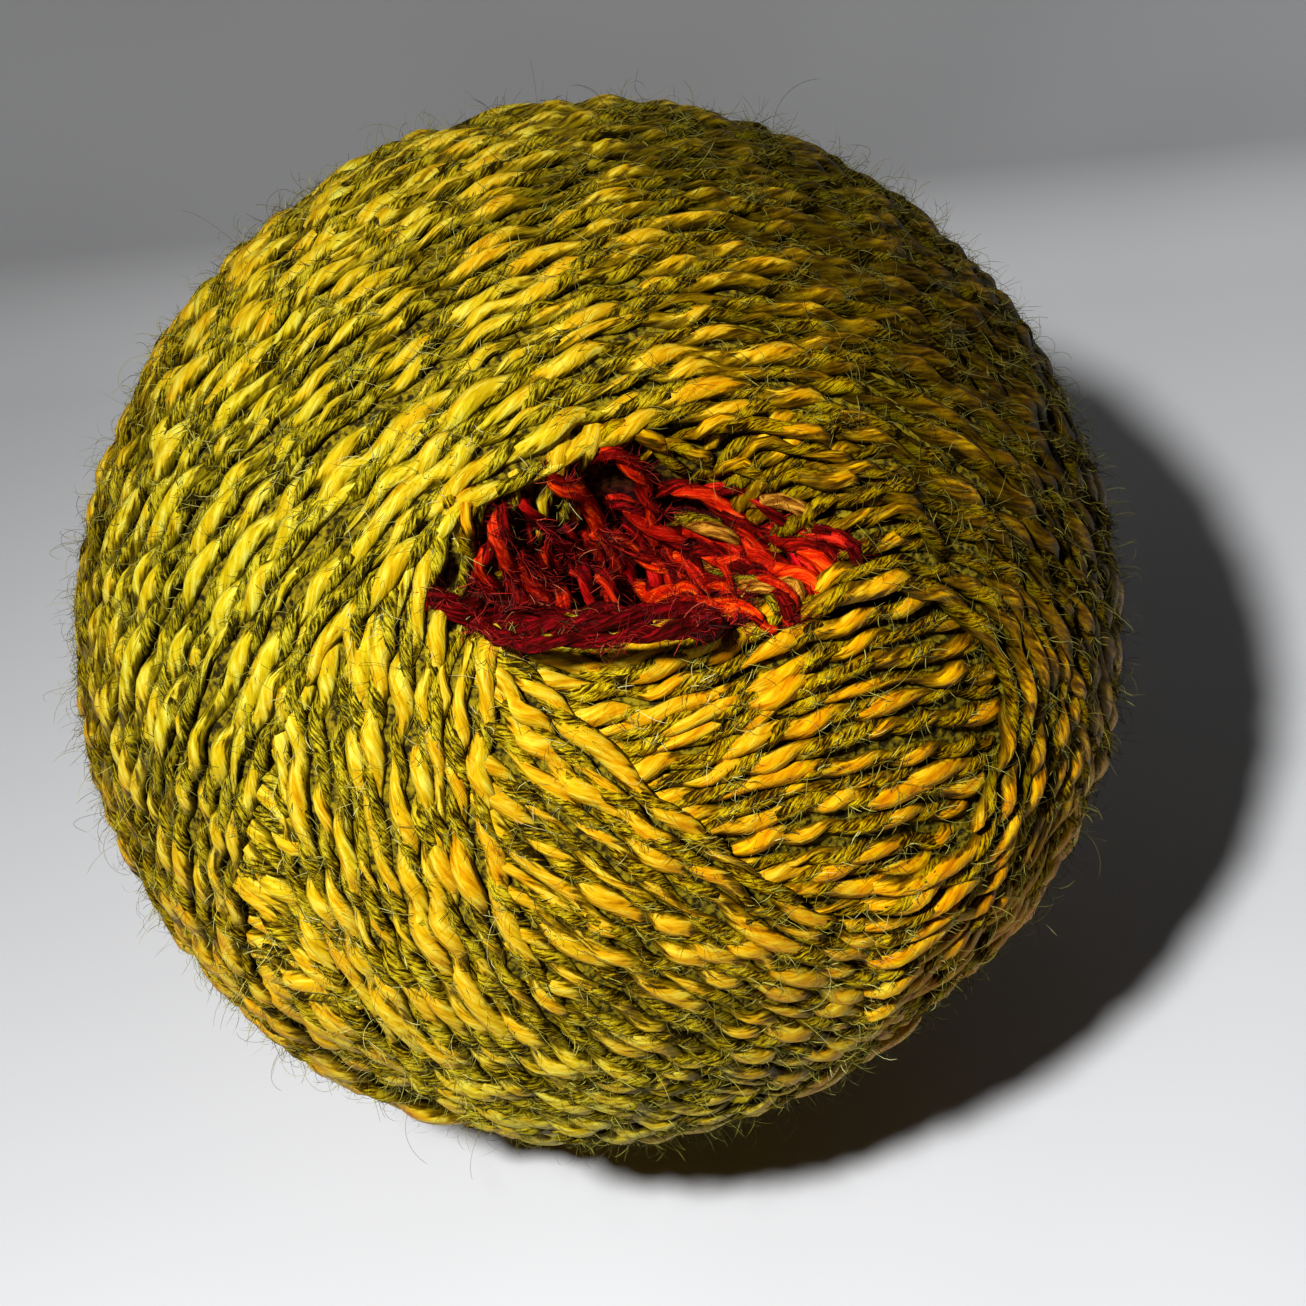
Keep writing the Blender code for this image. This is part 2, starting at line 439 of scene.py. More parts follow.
def twisted(points, outward, phase, ply, random):
    """One ply of the yarn whose middle runs along points: ring centres, outward ways, radii, lengths."""
    tangent = unit(np.gradient(points, axis=0))
    outward = unit(outward - tangent * np.sum(outward * tangent, axis=1, keepdims=True))
    side = np.cross(tangent, outward)
    gaps = np.linalg.norm(np.diff(points, axis=0), axis=1)
    along = np.concatenate([[0], np.cumsum(gaps)])
    lay = along + LAY_WOBBLE * Wobble(random, LAY_WAVES).at(along)
    turned = phase - 2 * pi * lay / LAY_LENGTH
    offset = PLY_OFFSET * (1 + OFFSET_WOBBLE * Wobble(random, OFFSET_WAVES).at(along))
    centres = points + outward * (offset * np.cos(turned))[:, None]
    centres = centres + side * (offset * np.sin(turned))[:, None]
    thickness = 1 + ply.slub * Wobble(random, SLUB_WAVES).at(along)
    thickness = np.clip(thickness, THINNEST, THICKEST)
    return centres, outward, ply.radius * thickness, along


class Tubes:
    """Tubes gathered into one mesh, with a map that runs round and along each tube."""

    def __init__(self):
        self.points = []
        self.faces = []
        self.round = []
        self.length = []
        self.tones = []
        self.cover_and_shade = []
        self.count = 0

    def add(self, centres, outward, radii, along, tones, cover_and_shade, sides=RING_SIDES):
        """Adds strands that all have the same number of rings, from arrays of strands by rings."""
        strands, rings = centres.shape[:2]
        tangent = unit(np.gradient(centres, axis=1))
        up = unit(outward - tangent * np.sum(outward * tangent, axis=2, keepdims=True))
        side = np.cross(tangent, up)
        radii = radii.copy()
        radii[:, [0, -1]] *= TIP_SHARE
        angles = 2 * pi * np.arange(sides) / sides
        ring = up[:, :, None] * np.cos(angles)[:, None] + side[:, :, None] * np.sin(angles)[:, None]
        points = centres[:, :, None] + ring * radii[:, :, None, None]
        points[..., 2] = np.maximum(points[..., 2], FLOOR)
        starts = self.count + (np.arange(strands)[:, None] * rings + np.arange(rings - 1)) * sides
        starts = starts[:, :, None]
        spans = 1 if sides == 2 else sides
        here = np.arange(spans)
        after = (here + 1) % sides
        quads = np.stack(
            [starts + here, starts + after, starts + after + sides, starts + here + sides], axis=-1
        )
        self.points.append(points.reshape(-1, 3))
        self.faces.append(quads.reshape(-1, 4))
        spread = quads.shape[:3]
        low = np.broadcast_to(here / sides, spread)
        high = low + 1 / sides
        self.round.append(np.stack([low, high, high, low], axis=-1).reshape(-1, 4))
        start = np.broadcast_to(along[:, :-1, None], spread)
        stop = np.broadcast_to(along[:, 1:, None], spread)
        self.length.append(np.stack([start, start, stop, stop], axis=-1).reshape(-1, 4))
        self.tones.append(np.repeat(tones.ravel(), sides))
        self.cover_and_shade.append(cover_and_shade(points).ravel())
        self.count += strands * rings * sides

    def mesh(self, name):
        points = np.concatenate(self.points)
        faces = np.concatenate(self.faces)
        mesh = bpy.data.meshes.new(name)
        mesh.vertices.add(len(points))
        mesh.vertices.foreach_set("co", points.ravel().astype(np.float32))
        mesh.loops.add(faces.size)
        mesh.loops.foreach_set("vertex_index", faces.ravel().astype(np.int32))
        mesh.polygons.add(len(faces))
        mesh.polygons.foreach_set("loop_start", np.arange(0, faces.size, 4, dtype=np.int32))
        layer = mesh.uv_layers.new(name="strand")
        round_places = np.concatenate(self.round).ravel()
        places = np.stack([round_places, np.concatenate(self.length).ravel()], axis=-1)
        layer.uv.foreach_set("vector", places.ravel().astype(np.float32))
        for label, values in (("tone", self.tones), ("cover", self.cover_and_shade)):
            layer = mesh.attributes.new(label, "FLOAT", "POINT")
            layer.data.foreach_set("value", np.concatenate(values).astype(np.float32))
        mesh.update()
        mesh.validate()
        mesh.shade_smooth()
        return mesh


# The strands in the hollow and along its rim, through points as the camera sees them, in the
# photo's pixels. Rise is how far a strand lies above the hollow's wall, in metres. Heat runs from 0
# for the darkest strands of a colour to 1 for the lightest.
Strand = namedtuple("Strand", "colour heat rise points")
STRANDS = (
    Strand("gold", 0, 0.0002, ((572, 440), (590, 428), (615, 425), (640, 430), (668, 442), (700, 452))),
    Strand("gold", 0, 0.0004, ((622, 450), (640, 444), (665, 441), (690, 447), (715, 460), (745, 470))),
    Strand(
        "gold",
        0,
        0.0002,
        ((660, 436), (685, 427), (726, 423), (757, 422), (785, 430), (830, 440), (870, 440)),
    ),
    Strand("gold", 0, 0.0004, ((688, 470), (710, 462), (740, 464), (765, 470), (800, 480))),
    Strand("gold", 0, 0.0003, ((722, 456), (745, 447), (771, 442), (800, 448), (840, 458), (885, 456))),
    Strand("gold", 0, 0.0004, ((746, 488), (775, 480), (812, 477), (850, 482), (900, 494))),
    Strand("gold", 0, 0.0003, ((790, 470), (825, 465), (853, 468), (885, 474), (935, 476))),
    Strand("gold", 0, 0.0004, ((810, 505), (840, 497), (881, 493), (915, 500), (955, 516))),
    Strand("gold", 0, 0.0003, ((850, 494), (880, 487), (915, 486), (950, 496))),
    Strand("gold", 0, 0.0004, ((852, 520), (880, 513), (905, 512), (935, 520), (965, 540))),
    Strand("gold", 0, 0.0004, ((868, 536), (895, 530), (922, 531), (950, 545), (975, 570))),
    Strand("gold", 0, 0.0006, ((470, 455), (461, 475), (453, 492), (447, 510), (444, 532), (441, 550))),
    Strand("gold", 0, 0.0006, ((484, 462), (474, 480), (467, 503), (463, 530), (461, 556), (458, 572))),
    Strand("red", 0.7, 0.0014, ((476, 515), (479, 545), (484, 585), (490, 625))),
    Strand("red", 0.5, 0.0014, ((492, 480), (497, 515), (503, 545), (512, 580), (522, 620))),
    Strand("red", 0.1, 0.0012, ((510, 470), (525, 500), (548, 530), (575, 560), (600, 600))),
    Strand("red", 0.4, 0.0024, ((500, 525), (520, 562), (532, 588), (545, 620))),
    Strand("red", 0.5, 0.0022, ((524, 530), (543, 567), (556, 592), (568, 620))),
    Strand("red", 0.9, 0.0016, ((535, 445), (552, 475), (576, 495), (596, 515), (612, 550), (628, 600))),
    Strand("red", 0.8, 0.0020, ((566, 442), (600, 446), (626, 458), (640, 480), (655, 510), (668, 545))),
    Strand("red", 0.3, 0.0022, ((551, 553), (575, 570), (600, 586), (630, 612))),
    Strand("red", 1.0, 0.0020, ((580, 520), (612, 540), (646, 556), (680, 580), (710, 622))),
    Strand("red", 0.3, 0.0012, ((605, 480), (632, 508), (655, 526), (690, 547), (722, 570))),
    Strand("red", 0.6, 0.0012, ((645, 465), (690, 490), (737, 516), (770, 537), (800, 556))),
    Strand("red", 0.2, 0.0008, ((690, 470), (730, 486), (775, 508), (822, 532))),
    Strand("red", 0.9, 0.0012, ((742, 515), (780, 535), (815, 553), (864, 586))),
    Strand("red", 0.4, 0.0010, ((790, 510), (830, 538), (876, 562))),
    Strand("red", 1.0, 0.0022, ((655, 540), (690, 562), (715, 583), (752, 626))),
    Strand("red", 0.6, 0.0022, ((691, 536), (720, 552), (748, 568), (775, 588), (814, 624))),
    Strand("red", 0.9, 0.0020, ((728, 534), (762, 555), (795, 574), (848, 606))),
    Strand("red", 1.0, 0.0022, ((600, 572), (640, 590), (690, 600), (752, 614), (800, 632))),
    Strand("tan", 0.5, 0.0011, ((668, 500), (705, 521), (738, 539), (772, 558))),
    Strand("tan", 0.7, 0.0018, ((700, 545), (733, 571), (765, 591), (802, 614))),
    Strand("tan", 0.8, 0.0016, ((752, 556), (785, 580), (822, 606))),
    Strand("tan", 0.3, 0.0008, ((730, 486), (775, 502), (820, 519), (856, 540))),
    Strand(
        "crimson",
        0,
        0.0020,
        ((396, 588), (423, 594), (470, 608), (530, 614), (594, 611), (650, 613), (710, 612), (778, 612)),
    ),
    Strand(
        "crimson",
        0,
        0.0027,
        ((408, 598), (450, 612), (500, 624), (560, 626), (620, 622), (690, 622), (770, 622)),
    ),
    Strand("crimson", 0, 0.0027, ((462, 622), (500, 638), (560, 643), (620, 637), (690, 630), (745, 624))),
)

# Each strand's ends go down into the wall, this deep and over this length. Its line is drawn in
# this many steps between two points.
TUCK_DEPTH = 0.0040
TUCK_LENGTH = 0.0050
STRAND_STEPS = 24

# A lower layer of darker red strands, side by side, from the first one on the hollow's far side to
# the last one on its near side: how many, their points, how far the points stray in pixels, the
# strands' rise, and their greatest heat
DEEP_STRANDS = 17
DEEP_FIRST = ((478, 500), (484, 560), (500, 622))
DEEP_LAST = ((800, 500), (850, 545), (890, 590))
DEEP_STRAY = 5
DEEP_RISE = 0.0003
DEEP_HEAT = 0.5

# What the strands of each colour are twisted from, by the names of the materials
STRAND_PLIES = (
    ("gold", ("gold", "dark")),
    ("red", ("red", "crimson")),
    ("tan", ("tan", "dark")),
    ("crimson", ("crimson", "crimson")),
)


def camera_axes():
    tilt = radians(CAMERA_ELEVATION)
    forward = np.array([0.0, cos(tilt), -sin(tilt)])
    rightward = np.array([1.0, 0.0, 0.0])
    upward = np.array([0.0, sin(tilt), cos(tilt)])
    return forward, rightward, upward


def pixel_ray(pixel):
    """The direction from the camera through one of the photo's pixels."""
    forward, rightward, upward = camera_axes()
    ray = forward * FOCAL_PIXELS
    ray = ray + rightward * (pixel[0] - FRAME_PIXELS / 2)
    ray = ray + upward * (FRAME_PIXELS / 2 - pixel[1])
    return unit(ray)


def camera_place():
    """Where the camera stands, so that the ball fills its circle in the picture."""
    outline = (cad_high[0] - cad_low[0]) / 2
    distance = outline / sin(atan(BALL_PIXEL_RADIUS / FOCAL_PIXELS))
    return CENTRE - pixel_ray(BALL_PIXEL) * distance


def wall_point(pixel, rise):
    """Where the camera's ray meets a surface that lies a rise above the hollow's wall."""
    eye = camera_place()
    reach = np.linspace(SEARCH_FROM, SEARCH_TO, SEARCH_STEPS)
    points = eye + np.outer(reach, pixel_ray(pixel))
    ways = unit(points - CENTRE)
    share, _ = hollow_place(ways)
    surface = plain_radius(ways) + BANDS[0].lift - hollow_drop(share) + rise
    inside = np.linalg.norm(points - CENTRE, axis=1) < surface
    return points[np.argmax(inside)]


def strand_line(strand):
    """A smooth line through a strand's points, its ends tucked into the wall."""
    marks = np.array([wall_point(pixel, strand.rise) for pixel in strand.points])
    marks = np.concatenate([[2 * marks[0] - marks[1]], marks, [2 * marks[-1] - marks[-2]]])
    part = np.linspace(0, 1, STRAND_STEPS, endpoint=False)[:, None]
    line = []
    for one, two, three, four in zip(marks, marks[1:], marks[2:], marks[3:]):
        line.append(
            0.5
            * (
                2 * two
                + (three - one) * part
                + (2 * one - 5 * two + 4 * three - four) * part**2
                + (3 * two - one - 3 * three + four) * part**3
            )
        )
    line = np.concatenate(line + [marks[-2:-1]])
    line, along = spaced(line, RING_STEP)
    from_end = np.minimum(along, along[-1] - along)
    tuck = TUCK_DEPTH * (1 - smooth(from_end / TUCK_LENGTH))
    return line - unit(line - CENTRE) * tuck[:, None]


class Roots:
    """Places on the dark ply's outer side where fibres can grow."""

    def __init__(self):
        self.points = []
        self.outward = []
        self.along = []

    def add(self, centres, outward, radii, points):
        facing = np.sum((centres - points) * outward, axis=1) > ROOT_LEVEL
        facing[[0, -1]] = False
        tangent = unit(np.gradient(centres, axis=0))
        self.points.append((centres + outward * (radii * ROOT_SHARE)[:, None])[facing])
        self.outward.append(outward[facing])
        self.along.append(tangent[facing])

    def pick(self, count, random):
        points = np.concatenate(self.points)
        chosen = random.choice(len(points), count)
        return points[chosen], np.concatenate(self.outward)[chosen], np.concatenate(self.along)[chosen]


def add_piece(mesh, name, material, replacing=False):
    """Puts a piece into the scene. The first one replaces the solid's plain look."""
    piece = bpy.data.objects.new(name, mesh)
    bpy.context.scene.collection.objects.link(piece)
    mesh.materials.append(material)
    if replacing:
        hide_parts(NODE)
    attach(piece, BODY)


# Materials


# Noise along a strand: how fine it is round the strand and along it, its detail, and how far its
# streaks turn round the strand, in turns a metre
Streaks = namedtuple("Streaks", "round_scale length_scale detail twist")
GOLD_STREAKS = Streaks(9.0, 420.0, 3.0, 78.0)
HOT_STREAKS = Streaks(9.0, 500.0, 3.0, 78.0)
HEATHER = Streaks(15.0, 1100.0, 3.0, 190.0)
STREAK_ROUGHNESS = 0.6

# Slow noise that changes the golden ply's paleness and the dark ply's flecks, and by how much
PALENESS_WAVES = Streaks(1.0, 140.0, 1.0, 0.0)
PALENESS_CHANGE = 1.1
FLECK_WAVES = Streaks(1.0, 330.0, 1.0, 0.0)
FLECK_CHANGE = 0.62

# How much the streaks hold the dark fibres and painted shade back, and how soon they hide the golden ply
RAGGEDNESS = -1.5
COVER_REACH = 0.42

# The colours along the noise, from the darkest fibres to the lightest. Gold and pale are the golden
# ply, brown and olive the dark fibres over it. Warm and grey are the dark ply.
GOLD = ((0.30, (0.34, 0.100, 0.0002)), (0.5, (0.48, 0.195, 0.0004)), (0.70, (0.51, 0.315, 0.001)))
PALE = ((0.30, (0.28, 0.180, 0.001)), (0.5, (0.39, 0.300, 0.004)), (0.70, (0.47, 0.440, 0.060)))
BROWN = ((0.34, (0.040, 0.014, 0.0001)), (0.5, (0.180, 0.075, 0.0002)), (0.68, (0.38, 0.20, 0.0005)))
OLIVE = ((0.34, (0.030, 0.020, 0.0004)), (0.5, (0.160, 0.120, 0.0010)), (0.68, (0.38, 0.30, 0.0060)))
WARM = (
    (0.36, (0.014, 0.006, 0.0003)),
    (0.44, (0.105, 0.043, 0.0002)),
    (0.53, (0.300, 0.165, 0.0003)),
    (0.64, (0.480, 0.340, 0.0010)),
)
GREY = (
    (0.36, (0.014, 0.011, 0.0012)),
    (0.44, (0.080, 0.060, 0.0014)),
    (0.53, (0.260, 0.215, 0.0030)),
    (0.64, (0.480, 0.410, 0.0200)),
)

# Painted shade: what the cover multiplies the colours by, darker at the yarn's sides and most in the
# dark patches, for the dark fibres over the golden ply and for the dark ply
COVERING_PAINTED_SHADE = ((0.0, (1, 1, 1)), (0.5, (0.9, 0.9, 0.9)), (1.0, (0.16, 0.17, 0.16)))
DARK_PLY_PAINTED_SHADE = ((0.0, (1, 1, 1)), (0.5, (0.74, 0.70, 0.6)), (1.0, (0.16, 0.17, 0.15)))

# The hollow's plies, each from a cool row of colours at heat 0 to a hot row at heat 1
HotPly = namedtuple("HotPly", "name cool hot roughness")
HOT_PLIES = (
    HotPly(
        "red",
        ((0.28, (0.06, 0.0003, 0.0005)), (0.5, (0.20, 0.0006, 0.002)), (0.72, (0.45, 0.004, 0.008))),
        ((0.28, (0.18, 0.002, 0.0002)), (0.5, (0.45, 0.012, 0.0005)), (0.72, (0.72, 0.085, 0.003))),
        0.55,
    ),
    HotPly(
        "crimson",
        ((0.34, (0.004, 0.0002, 0.0002)), (0.5, (0.035, 0.0003, 0.001)), (0.70, (0.16, 0.001, 0.004))),
        ((0.34, (0.010, 0.0004, 0.0002)), (0.5, (0.085, 0.0006, 0.0006)), (0.70, (0.30, 0.006, 0.002))),
        0.85,
    ),
    HotPly(
        "tan",
        ((0.34, (0.020, 0.006, 0.001)), (0.5, (0.12, 0.045, 0.004)), (0.70, (0.34, 0.16, 0.018))),
        ((0.34, (0.050, 0.012, 0.001)), (0.5, (0.28, 0.100, 0.006)), (0.70, (0.58, 0.27, 0.025))),
        0.85,
    ),
)

# The surface between the turns, on the ball and in the hollow, dark as painted shade, and how fine its
# noise is
SHADED_OLIVE = ((0.40, (0.012, 0.008, 0.0004)), (0.62, (0.18, 0.13, 0.002)))
SHADED_CRIMSON = ((0.42, (0.01, 0.0003, 0.001)), (0.7, (0.09, 0.001, 0.002)))
DEEP_SCALE = 1800.0

# The fibres' shades, on the ball and in the hollow
BALL_FIBRES = (
    (0.0, (0.012, 0.011, 0.002)),
    (0.45, (0.085, 0.075, 0.010)),
    (0.80, (0.280, 0.260, 0.040)),
    (1.0, (0.550, 0.520, 0.280)),
)
HOLLOW_FIBRES = (
    (0.0, (0.012, 0.003, 0.002)),
    (0.5, (0.090, 0.001, 0.002)),
    (0.85, (0.300, 0.010, 0.004)),
    (1.0, (0.350, 0.180, 0.060)),
)

# The colour of the light that the plies mirror
GOLD_SHEEN = (1.0, 0.75, 0.05, 1)
RED_SHEEN = (1.0, 0.12, 0.03, 1)


def new_material(name):
    material = bpy.data.materials.new(name)
    material.use_nodes = True
    return material, material.node_tree.nodes, material.node_tree.links


def plug(links, socket, value):
    """Gives the socket a number of its own or another node's output."""
    if isinstance(value, float):
        socket.default_value = value
    else:
        links.new(value, socket)


def attribute(nodes, name):
    """The value that each point of the mesh has under this name."""
    node = nodes.new("ShaderNodeAttribute")
    node.attribute_name = name
    return node.outputs["Fac"]


def calculated(nodes, links, operation, *values):
    node = nodes.new("ShaderNodeMath")
    node.operation = operation
    for socket, value in zip(node.inputs, values):
        plug(links, socket, value)
    return node.outputs[0]


def strand_noise(nodes, links, streaks):
    """Noise drawn out along the strand."""
    place = nodes.new("ShaderNodeUVMap")
    place.uv_map = "strand"
    split = nodes.new("ShaderNodeSeparateXYZ")
    links.new(place.outputs[0], split.inputs[0])
    around, along = split.outputs[0], split.outputs[1]
    turned = calculated(nodes, links, "MULTIPLY_ADD", along, streaks.twist, around)
    joined = nodes.new("ShaderNodeCombineXYZ")
    wide = calculated(nodes, links, "MULTIPLY", turned, streaks.round_scale)
    long = calculated(nodes, links, "MULTIPLY", along, streaks.length_scale)
    links.new(wide, joined.inputs[0])
    links.new(long, joined.inputs[1])
    noise = nodes.new("ShaderNodeTexNoise")
    noise.noise_dimensions = "2D"
    noise.inputs["Scale"].default_value = 1.0
    noise.inputs["Detail"].default_value = streaks.detail
    noise.inputs["Roughness"].default_value = STREAK_ROUGHNESS
    links.new(joined.outputs[0], noise.inputs["Vector"])
    return noise.outputs[0]


def ramp(nodes, links, source, stops):
    """The colour along the stops at the source's value."""
    node = nodes.new("ShaderNodeValToRGB")
    links.new(source, node.inputs[0])
    elements = node.color_ramp.elements
    for element, (place, colour) in zip(elements, (stops[0], stops[-1])):
        element.position = place
        element.color = (*colour, 1)
    for place, colour in stops[1:-1]:
        elements.new(place).color = (*colour, 1)
    return node.outputs[0]


def mixed(nodes, links, share, one, two, blend="MIX"):
    node = nodes.new("ShaderNodeMix")
    node.data_type = "RGBA"
    node.blend_type = blend
    plug(links, node.inputs["Factor"], share)
    links.new(one, node.inputs[6])
    links.new(two, node.inputs[7])
    return node.outputs[2]


def set_surface(surface, roughness, shine, tint=None):
    surface.inputs["Roughness"].default_value = roughness
    surface.inputs["Specular IOR Level"].default_value = shine
    if tint:
        surface.inputs["Specular Tint"].default_value = tint


def bumped(nodes, links, surface, source, distance):
    bump = nodes.new("ShaderNodeBump")
    bump.inputs["Distance"].default_value = distance
    bump.inputs["Strength"].default_value = 1.0
    links.new(source, bump.inputs["Height"])
    links.new(bump.outputs[0], surface.inputs["Normal"])


def varied(nodes, links, source, waves, change):
    """The source's value, raised and lowered by up to half the change along each strand."""
    slow = strand_noise(nodes, links, waves)
    centred = calculated(nodes, links, "MULTIPLY_ADD", slow, change, -change / 2)
    total = nodes.new("ShaderNodeMath")
    total.operation = "ADD"
    total.use_clamp = True
    links.new(source, total.inputs[0])
    links.new(centred, total.inputs[1])
    return total.outputs[0]


def covered_and_shaded(nodes, links, streaks):
    """How far the dark fibres and painted shade hide the ply: its cover, made ragged by the streaks."""
    cover = attribute(nodes, "cover")
    ragged = calculated(nodes, links, "MULTIPLY_ADD", streaks, RAGGEDNESS, cover)
    reach = nodes.new("ShaderNodeMapRange")
    reach.interpolation_type = "SMOOTHSTEP"
    reach.inputs["From Min"].default_value = 0.0
    reach.inputs["From Max"].default_value = COVER_REACH
    links.new(ragged, reach.inputs["Value"])
    return reach.outputs[0]


def painted_shade_by_cover(nodes, links, colour, stops):
    """The colour darkened as painted shade by the cover, whose values from 0 to 2 run along the stops."""
    half = calculated(nodes, links, "MULTIPLY", attribute(nodes, "cover"), 0.5)
    depth = ramp(nodes, links, half, stops)
    return mixed(nodes, links, 1.0, colour, depth, "MULTIPLY")


def gold_material():
    """The golden ply: gold or pale along its streaks, with dark fibres and painted shade over its sides.
    """
    material, nodes, links = new_material("gold_ply")
    surface = nodes["Principled BSDF"]
    streaks = strand_noise(nodes, links, GOLD_STREAKS)
    gold = ramp(nodes, links, streaks, GOLD)
    pale = ramp(nodes, links, streaks, PALE)
    tone = attribute(nodes, "tone")
    paleness = varied(nodes, links, tone, PALENESS_WAVES, PALENESS_CHANGE)
    colour = mixed(nodes, links, paleness, gold, pale)
    brown = ramp(nodes, links, streaks, BROWN)
    olive = ramp(nodes, links, streaks, OLIVE)
    covering = mixed(nodes, links, tone, brown, olive)
    covering = painted_shade_by_cover(nodes, links, covering, COVERING_PAINTED_SHADE)
    colour = mixed(nodes, links, covered_and_shaded(nodes, links, streaks), colour, covering)
    links.new(colour, surface.inputs["Base Color"])
    set_surface(surface, roughness=0.5, shine=0.25, tint=GOLD_SHEEN)
    bumped(nodes, links, surface, streaks, distance=0.00014)
    return material


def dark_material():
    """The dark ply: fine flecks of olive and gold, with painted shade at its sides and in the dark
    patches.
    """
    material, nodes, links = new_material("dark_ply")
    surface = nodes["Principled BSDF"]
    heather = strand_noise(nodes, links, HEATHER)
    flecks = varied(nodes, links, heather, FLECK_WAVES, FLECK_CHANGE)
    warm = ramp(nodes, links, flecks, WARM)
    grey = ramp(nodes, links, flecks, GREY)
    colour = mixed(nodes, links, attribute(nodes, "tone"), warm, grey)
    colour = painted_shade_by_cover(nodes, links, colour, DARK_PLY_PAINTED_SHADE)
    links.new(colour, surface.inputs["Base Color"])
    set_surface(surface, roughness=0.85, shine=0.05, tint=GOLD_SHEEN)
    bumped(nodes, links, surface, heather, distance=0.00035)
    return material


def hot_material(ply):
    """A ply of the hollow's yarn."""
    material, nodes, links = new_material(f"{ply.name}_ply")
    surface = nodes["Principled BSDF"]
    streaks = strand_noise(nodes, links, HOT_STREAKS)
    cool = ramp(nodes, links, streaks, ply.cool)
    hot = ramp(nodes, links, streaks, ply.hot)
    colour = mixed(nodes, links, attribute(nodes, "tone"), cool, hot)
    links.new(colour, surface.inputs["Base Color"])
    set_surface(surface, roughness=ply.roughness, shine=0.2, tint=RED_SHEEN)
    bumped(nodes, links, surface, streaks, distance=0.00025)
    return material


def painted_shade_material():
    """The yarn deep between the turns, painted dark as the shade that lies there."""
    material, nodes, links = new_material("deep_yarn")
    surface = nodes["Principled BSDF"]
    noise = nodes.new("ShaderNodeTexNoise")
    noise.inputs["Scale"].default_value = DEEP_SCALE
    place = nodes.new("ShaderNodeTexCoord")
    links.new(place.outputs["Object"], noise.inputs["Vector"])
    olive = ramp(nodes, links, noise.outputs[0], SHADED_OLIVE)
    crimson = ramp(nodes, links, noise.outputs[0], SHADED_CRIMSON)
    colour = mixed(nodes, links, attribute(nodes, "tone"), olive, crimson)
    links.new(colour, surface.inputs["Base Color"])
    set_surface(surface, roughness=0.95, shine=0.1)
    return material


def fibre_material(name, stops):
    """Fine fibres, each with a shade of its own."""
    material, nodes, links = new_material(name)
    surface = nodes["Principled BSDF"]
    colour = ramp(nodes, links, attribute(nodes, "tone"), stops)
    links.new(colour, surface.inputs["Base Color"])
    set_surface(surface, roughness=0.7, shine=0.1)
    return material


def yarn_materials():
    materials = {"gold": gold_material(), "dark": dark_material(), "deep": painted_shade_material()}
    for ply in HOT_PLIES:
        materials[ply.name] = hot_material(ply)
    materials["ball"] = fibre_material("fibres", BALL_FIBRES)
    materials["hollow"] = fibre_material("red_fibres", HOLLOW_FIBRES)
    return materials


# The yarn's pieces


def strand_pair(line, outward, tones, gathered, roots, random, plies=PLIES):
    """Adds the yarn along one line to the pair of gathered plies, and its roots for fibres."""
    phase = random.uniform(0, 2 * pi)
    # More dark fibres and painted shade where the dark patches lie
    shade = patched(DARK_FIBRE_AND_SHADE_PATCHES, outward)

    def cover_and_shade(points):
        """How far dark fibres and painted shade cover each point: little on the yarn's crest, all of it
        at its sides, and more in the dark patches.
        """
        height = np.sum((points - line[None, :, None]) * outward[None, :, None], axis=-1)
        return 1 - height / CREST_HEIGHT + shade[None, :, None]

    for ply, tubes in zip(plies, gathered):
        centres, up, radii, along = twisted(line, outward, phase + ply.turn, ply, random)
        along = along + random.uniform(0, MAP_START)
        tubes.add(centres[None], up[None], radii[None], along[None], tones, cover_and_shade)
        if ply.name == "dark":
            roots.add(centres, up, radii, line)


def build_bands(random, materials, roots):
    """Every band's turns, as one gold and one dark piece for each band."""
    first = True
    for number, band in enumerate(BANDS):
        gathered = [Tubes() for _ in PLIES]
        for points, ways in band_runs(number, random):
            strand_pair(points, ways, patched(PALE_PATCHES, ways), gathered, roots, random)
        for ply, tubes in zip(PLIES, gathered):
            name = f"{band.name}_{ply.name}"
            add_piece(tubes.mesh(name), name, materials[ply.name], first)
            first = False


def build_hollow(random, materials, ball_roots, hollow_roots):
    """The strands on the hollow's wall and its rim, as one pair of pieces for each colour."""
    strands = STRANDS
    for number in range(DEEP_STRANDS):
        share = number / (DEEP_STRANDS - 1)
        ends = np.array(DEEP_FIRST) * (1 - share) + np.array(DEEP_LAST) * share
        strayed = ends + random.uniform(-DEEP_STRAY, DEEP_STRAY, ends.shape)
        points = tuple(tuple(point) for point in strayed)
        strands = strands + (Strand("red", random.uniform(0, DEEP_HEAT), DEEP_RISE, points),)
    for colour, used in STRAND_PLIES:
        gathered = [Tubes() for _ in PLIES]
        for strand in strands:
            if strand.colour == colour:
                line = strand_line(strand)
                heat = np.full(len(line), float(strand.heat))
                roots = ball_roots if colour == "gold" else hollow_roots
                strand_pair(line, unit(line - CENTRE), heat, gathered, roots, random, HOLLOW_PLIES)
        for ply, tubes, material in zip(PLIES, gathered, used):
            name = f"hollow_{colour}_{ply.name}"
            add_piece(tubes.mesh(name), name, materials[material])


